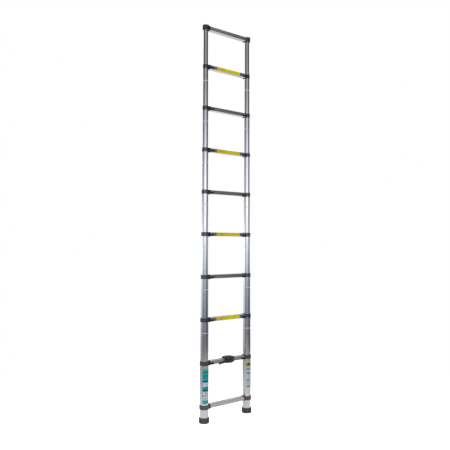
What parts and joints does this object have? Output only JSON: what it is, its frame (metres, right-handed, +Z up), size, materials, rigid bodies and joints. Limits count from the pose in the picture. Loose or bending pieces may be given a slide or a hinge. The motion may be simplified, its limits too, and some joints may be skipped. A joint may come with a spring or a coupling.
{
  "type": "telescoping ladder",
  "caption": "Leaning ladder of nested round tube sections with ribbed rungs, thumb-released lock pins, collars, feet and a closing strap.",
  "frame": {"origin": "on the floor, midway between the two feet", "axes": "+Z up the stiles, +X along the rungs to the right stile, +Y towards the wall that the ladder leans on"},
  "size_m": [0.462, 0.072, 2.8135],
  "materials": {
    "stile_aluminium": "drawn and clear anodised, satin",
    "rung_aluminium": "extruded and anodised, satin, ribbed tread",
    "collar_plastic": "moulded, fine texture",
    "bush_plastic": "moulded",
    "lever_plastic": "moulded, ribbed for the thumb",
    "foot_rubber": "moulded, dull",
    "buckle_plastic": "moulded",
    "strap_webbing": "woven polyester webbing"
  },
  "bodies": {
    "section_1": {"stile_tubes_1": "stile_aluminium", "rung_01": "rung_aluminium", "tube_bushes_1": "bush_plastic", "top_cap_left": "collar_plastic", "top_cap_right": "collar_plastic"},
    "section_2": {"stile_tubes_2": "stile_aluminium", "rung_02": "rung_aluminium", "tube_bushes_2": "bush_plastic", "rung_collars_2": "collar_plastic"},
    "section_3": {"stile_tubes_3": "stile_aluminium", "rung_03": "rung_aluminium", "tube_bushes_3": "bush_plastic", "rung_collars_3": "collar_plastic"},
    "section_4": {"stile_tubes_4": "stile_aluminium", "rung_04": "rung_aluminium", "tube_bushes_4": "bush_plastic", "rung_collars_4": "collar_plastic"},
    "section_5": {"stile_tubes_5": "stile_aluminium", "rung_05": "rung_aluminium", "tube_bushes_5": "bush_plastic", "rung_collars_5": "collar_plastic"},
    "section_6": {"stile_tubes_6": "stile_aluminium", "rung_06": "rung_aluminium", "tube_bushes_6": "bush_plastic", "rung_collars_6": "collar_plastic"},
    "section_7": {"stile_tubes_7": "stile_aluminium", "rung_07": "rung_aluminium", "tube_bushes_7": "bush_plastic", "rung_collars_7": "collar_plastic"},
    "section_8": {"stile_tubes_8": "stile_aluminium", "rung_08": "rung_aluminium", "tube_bushes_8": "bush_plastic", "rung_collars_8": "collar_plastic"},
    "section_9": {"stile_tubes_9": "stile_aluminium", "rung_09": "rung_aluminium", "rung_collars_9": "collar_plastic", "rung_10": "rung_aluminium", "base_collars": "collar_plastic", "foot_left": "foot_rubber", "foot_right": "foot_rubber", "strap_roll": "strap_webbing", "strap_tail": "strap_webbing", "strap_buckle": "buckle_plastic"},
    "latch_2_left": {"latch_2_left": "lever_plastic"},
    "latch_2_right": {"latch_2_right": "lever_plastic"},
    "latch_3_left": {"latch_3_left": "lever_plastic"},
    "latch_3_right": {"latch_3_right": "lever_plastic"},
    "latch_4_left": {"latch_4_left": "lever_plastic"},
    "latch_4_right": {"latch_4_right": "lever_plastic"},
    "latch_5_left": {"latch_5_left": "lever_plastic"},
    "latch_5_right": {"latch_5_right": "lever_plastic"},
    "latch_6_left": {"latch_6_left": "lever_plastic"},
    "latch_6_right": {"latch_6_right": "lever_plastic"},
    "latch_7_left": {"latch_7_left": "lever_plastic"},
    "latch_7_right": {"latch_7_right": "lever_plastic"},
    "latch_8_left": {"latch_8_left": "lever_plastic"},
    "latch_8_right": {"latch_8_right": "lever_plastic"},
    "latch_9_left": {"latch_9_left": "lever_plastic"},
    "latch_9_right": {"latch_9_right": "lever_plastic"}
  },
  "joints": [
    {"name": "section_8_slide", "type": "slide", "parent": "section_9", "child": "section_8", "axis": [0, 0, 1], "range_m": [-0.26, 0]},
    {"name": "section_7_slide", "type": "slide", "parent": "section_8", "child": "section_7", "axis": [0, 0, 1], "range_m": [-0.26, 0]},
    {"name": "section_6_slide", "type": "slide", "parent": "section_7", "child": "section_6", "axis": [0, 0, 1], "range_m": [-0.26, 0]},
    {"name": "section_5_slide", "type": "slide", "parent": "section_6", "child": "section_5", "axis": [0, 0, 1], "range_m": [-0.26, 0]},
    {"name": "section_4_slide", "type": "slide", "parent": "section_5", "child": "section_4", "axis": [0, 0, 1], "range_m": [-0.26, 0]},
    {"name": "section_3_slide", "type": "slide", "parent": "section_4", "child": "section_3", "axis": [0, 0, 1], "range_m": [-0.26, 0]},
    {"name": "section_2_slide", "type": "slide", "parent": "section_3", "child": "section_2", "axis": [0, 0, 1], "range_m": [-0.26, 0]},
    {"name": "section_1_slide", "type": "slide", "parent": "section_2", "child": "section_1", "axis": [0, 0, 1], "range_m": [-0.242, 0]},
    {"name": "latch_2_left_slide", "type": "slide", "parent": "section_2", "child": "latch_2_left", "axis": [-1, 0, 0], "range_m": [-0.008, 0], "stiffness_N_per_m": 400, "springref_m": 0.012},
    {"name": "latch_2_right_slide", "type": "slide", "parent": "section_2", "child": "latch_2_right", "axis": [1, 0, 0], "range_m": [-0.008, 0], "stiffness_N_per_m": 400, "springref_m": 0.012},
    {"name": "latch_3_left_slide", "type": "slide", "parent": "section_3", "child": "latch_3_left", "axis": [-1, 0, 0], "range_m": [-0.008, 0], "stiffness_N_per_m": 400, "springref_m": 0.012},
    {"name": "latch_3_right_slide", "type": "slide", "parent": "section_3", "child": "latch_3_right", "axis": [1, 0, 0], "range_m": [-0.008, 0], "stiffness_N_per_m": 400, "springref_m": 0.012},
    {"name": "latch_4_left_slide", "type": "slide", "parent": "section_4", "child": "latch_4_left", "axis": [-1, 0, 0], "range_m": [-0.008, 0], "stiffness_N_per_m": 400, "springref_m": 0.012},
    {"name": "latch_4_right_slide", "type": "slide", "parent": "section_4", "child": "latch_4_right", "axis": [1, 0, 0], "range_m": [-0.008, 0], "stiffness_N_per_m": 400, "springref_m": 0.012},
    {"name": "latch_5_left_slide", "type": "slide", "parent": "section_5", "child": "latch_5_left", "axis": [-1, 0, 0], "range_m": [-0.008, 0], "stiffness_N_per_m": 400, "springref_m": 0.012},
    {"name": "latch_5_right_slide", "type": "slide", "parent": "section_5", "child": "latch_5_right", "axis": [1, 0, 0], "range_m": [-0.008, 0], "stiffness_N_per_m": 400, "springref_m": 0.012},
    {"name": "latch_6_left_slide", "type": "slide", "parent": "section_6", "child": "latch_6_left", "axis": [-1, 0, 0], "range_m": [-0.008, 0], "stiffness_N_per_m": 400, "springref_m": 0.012},
    {"name": "latch_6_right_slide", "type": "slide", "parent": "section_6", "child": "latch_6_right", "axis": [1, 0, 0], "range_m": [-0.008, 0], "stiffness_N_per_m": 400, "springref_m": 0.012},
    {"name": "latch_7_left_slide", "type": "slide", "parent": "section_7", "child": "latch_7_left", "axis": [-1, 0, 0], "range_m": [-0.008, 0], "stiffness_N_per_m": 400, "springref_m": 0.012},
    {"name": "latch_7_right_slide", "type": "slide", "parent": "section_7", "child": "latch_7_right", "axis": [1, 0, 0], "range_m": [-0.008, 0], "stiffness_N_per_m": 400, "springref_m": 0.012},
    {"name": "latch_8_left_slide", "type": "slide", "parent": "section_8", "child": "latch_8_left", "axis": [-1, 0, 0], "range_m": [-0.008, 0], "stiffness_N_per_m": 400, "springref_m": 0.012},
    {"name": "latch_8_right_slide", "type": "slide", "parent": "section_8", "child": "latch_8_right", "axis": [1, 0, 0], "range_m": [-0.008, 0], "stiffness_N_per_m": 400, "springref_m": 0.012},
    {"name": "latch_9_left_slide", "type": "slide", "parent": "section_9", "child": "latch_9_left", "axis": [-1, 0, 0], "range_m": [-0.008, 0], "stiffness_N_per_m": 400, "springref_m": 0.012},
    {"name": "latch_9_right_slide", "type": "slide", "parent": "section_9", "child": "latch_9_right", "axis": [1, 0, 0], "range_m": [-0.008, 0], "stiffness_N_per_m": 400, "springref_m": 0.012}
  ]
}
